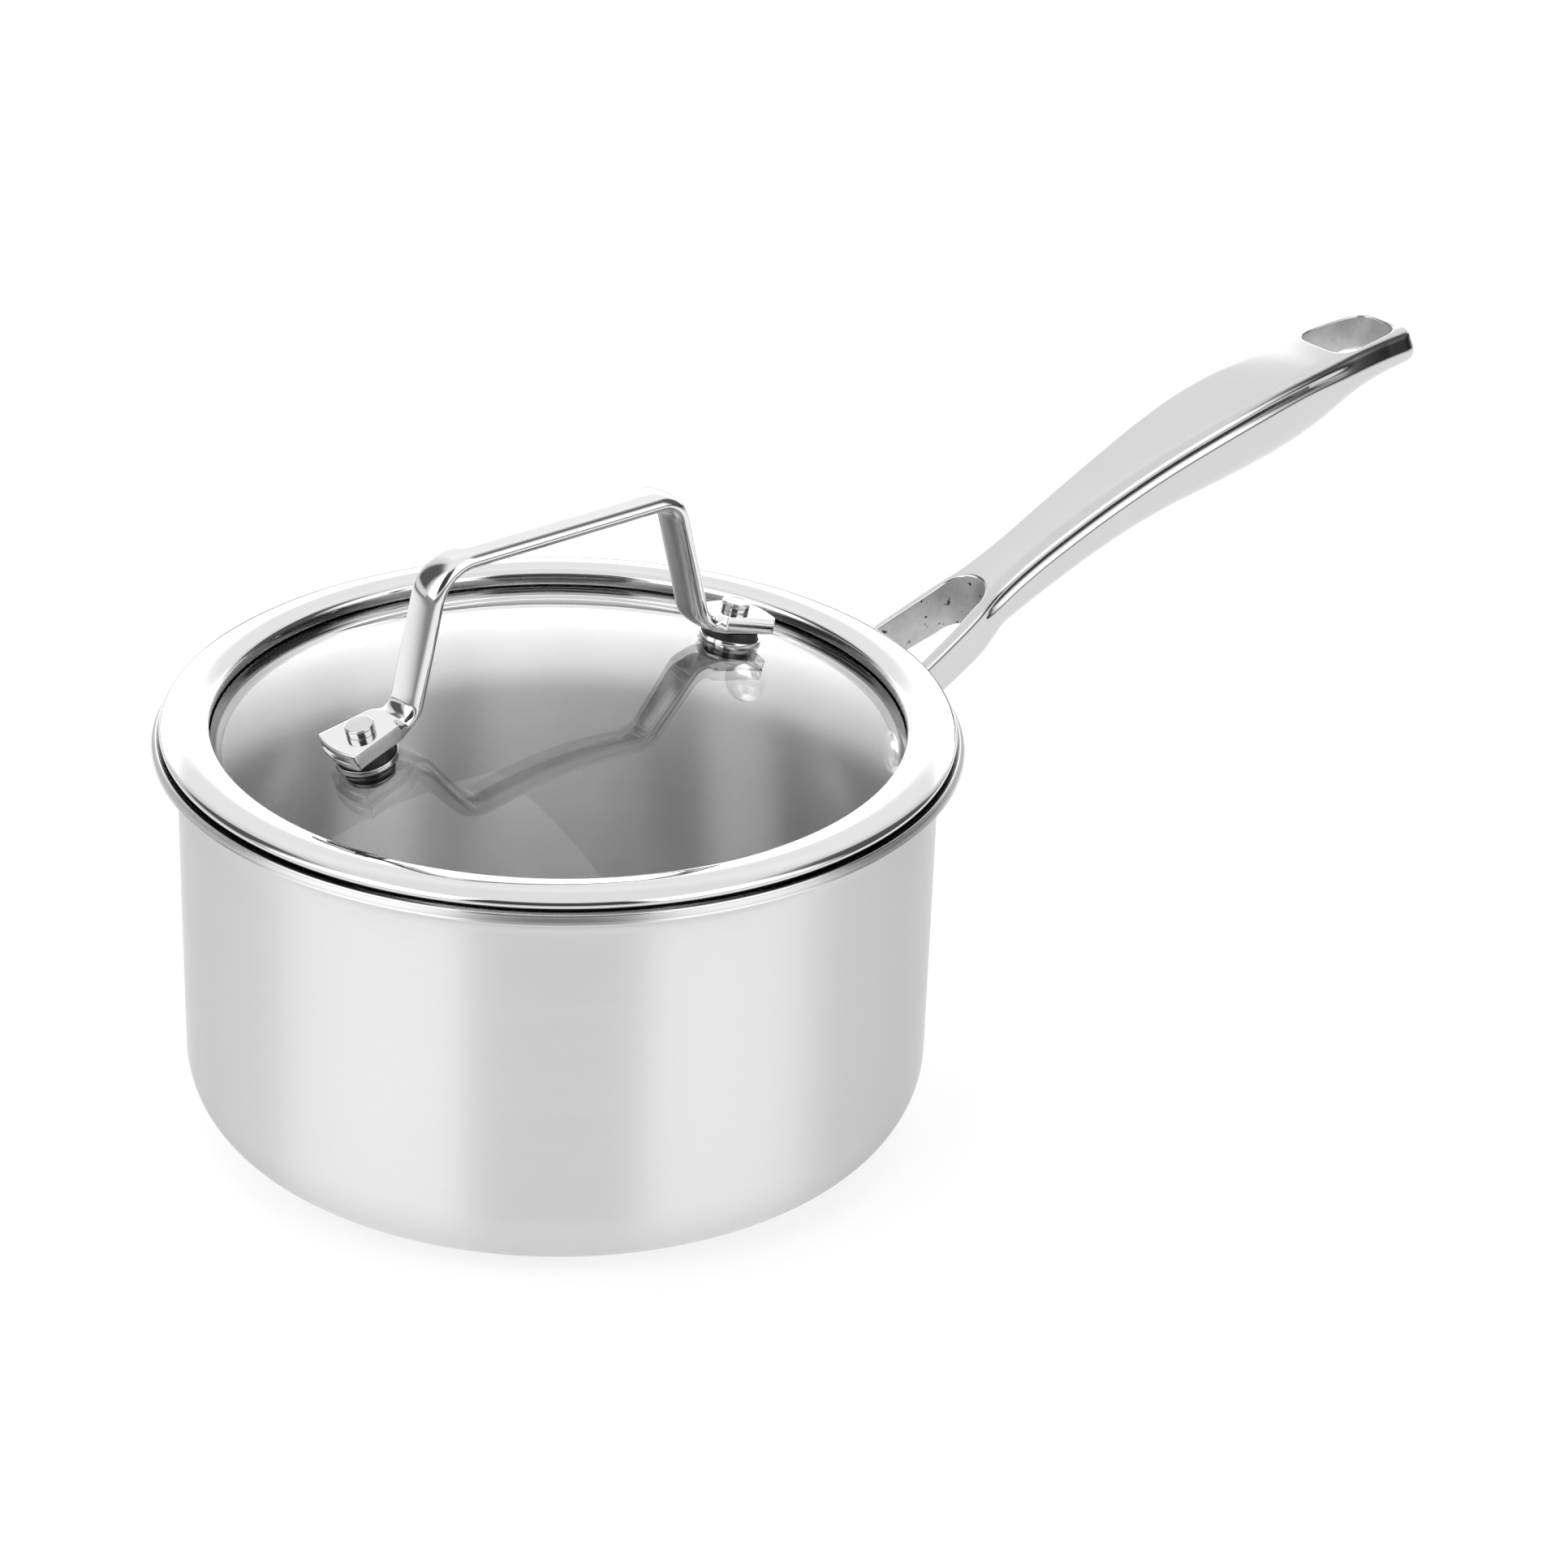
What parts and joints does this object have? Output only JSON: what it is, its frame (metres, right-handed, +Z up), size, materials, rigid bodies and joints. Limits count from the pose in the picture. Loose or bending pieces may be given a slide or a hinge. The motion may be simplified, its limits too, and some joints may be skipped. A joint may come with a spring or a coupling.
{
  "type": "saucepan",
  "caption": "Saucepan with a flared pouring rim and a long forked handle riveted to its wall, covered by a domed glass lid with a wide steel band and a bent bar handle.",
  "frame": {"origin": "centre of the pot's flat base, on the surface it stands on", "axes": "+Z up along the pot's axis; +X from the pot's axis out along the pan handle; +Y completes the right-handed frame, so the handle is symmetric about the plane y = 0"},
  "size_m": [0.3489, 0.176, 0.1411],
  "materials": {
    "brushed_body": "satin brushed stainless steel, fine lines running round the pot",
    "aluminium_core": "plain aluminium, seen only as a thin line in the cut lip",
    "interior_steel": "satin brushed stainless steel, circular lines",
    "polished_handle": "polished cast stainless steel, rough cast between the prongs and in the hanging hole",
    "rivet_steel": "satin stainless steel",
    "clear_glass": "clear tempered glass, polished",
    "polished_band": "mirror-polished stainless steel",
    "polished_bar": "mirror-polished stainless steel",
    "polished_fixing": "polished stainless steel",
    "black_silicone": "dark matt silicone",
    "fastener_steel": "plain stainless steel"
  },
  "bodies": {
    "pan": {"pot_outer_ply": "brushed_body", "pot_core_ply": "aluminium_core", "pot_inner_ply": "interior_steel", "pan_handle": "polished_handle", "handle_rivet_left": "rivet_steel", "handle_rivet_right": "rivet_steel"},
    "lid": {"lid_glass": "clear_glass", "lid_rim_band": "polished_band", "lid_handle": "polished_bar", "lid_barrel_nut_front": "polished_fixing", "lid_barrel_nut_back": "polished_fixing", "lid_cup_washer_front": "polished_fixing", "lid_cup_washer_back": "polished_fixing", "lid_upper_gasket_front": "black_silicone", "lid_upper_gasket_back": "black_silicone", "lid_lower_gasket_front": "black_silicone", "lid_lower_gasket_back": "black_silicone", "lid_backing_washer_front": "fastener_steel", "lid_backing_washer_back": "fastener_steel", "lid_screw_front": "fastener_steel", "lid_screw_back": "fastener_steel"}
  },
  "joints": [
    {"name": "lid_lift", "type": "slide", "parent": "pan", "child": "lid", "axis": [0, 0, 1], "range_m": [0, 0.06]}
  ]
}
